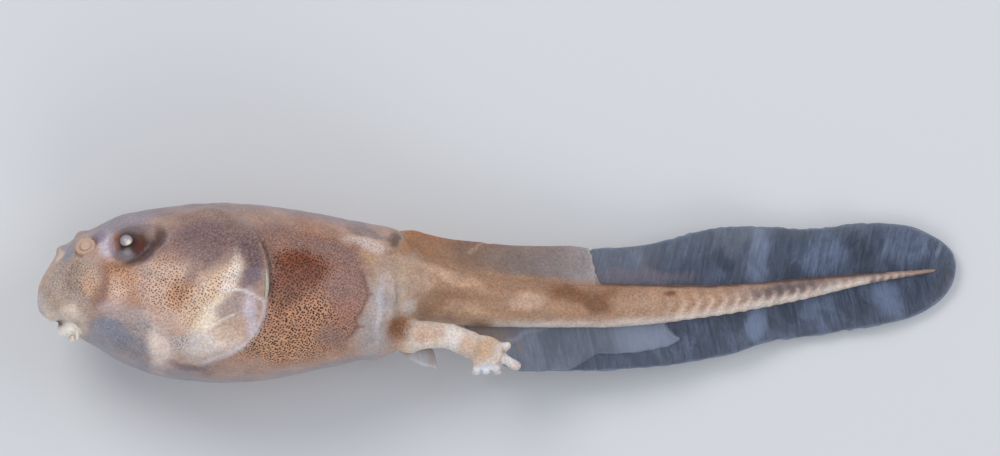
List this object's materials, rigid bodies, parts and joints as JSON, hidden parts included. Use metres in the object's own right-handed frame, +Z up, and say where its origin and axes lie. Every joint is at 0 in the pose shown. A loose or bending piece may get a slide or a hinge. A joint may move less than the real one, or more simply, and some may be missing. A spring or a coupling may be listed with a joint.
{
  "type": "amatola toad tadpole",
  "caption": "Life-size preserved tadpole of the Amatola toad with hind legs, lying on its right side: oval body, muscular tail and clear fins above and below it.",
  "frame": {"origin": "middle of the model's footprint box, on the floor that it lies on", "axes": "+Z up out of the left flank, -X towards the snout, +X towards the tail's end, +Y towards the back, -Y towards the belly"},
  "size_m": [0.0208, 0.004, 0.0046],
  "materials": {
    "head_skin": "wet, pale pink-brown preserved skin with dark dots",
    "body_skin": "wet, brown skin with dense dark dots, milky at its edges",
    "tail_muscle": "wet, tan muscle with fine brown specks",
    "eye": "polished, dark red-brown with a pearly lens",
    "leg_skin": "wet, whitish skin with ochre patches",
    "fin_sheath": "wet, milky outer skin, half clear",
    "fin_membrane": "wet, thin blue-grey membrane, half clear"
  },
  "bodies": {
    "root": {"head": "head_skin", "body": "body_skin", "tail_base": "tail_muscle", "tail_middle": "tail_muscle", "tail_end": "tail_muscle", "eye_left": "eye", "eye_right": "eye", "hind_leg_left": "leg_skin", "hind_foot_left": "leg_skin", "hind_leg_right": "leg_skin", "hind_foot_right": "leg_skin", "vent_tube": "fin_membrane", "dorsal_fin_front": "fin_sheath", "dorsal_fin_rear": "fin_membrane", "ventral_fin_front": "fin_sheath", "ventral_fin_rear": "fin_membrane", "tail_fin_tip": "fin_membrane"}
  },
  "joints": []
}
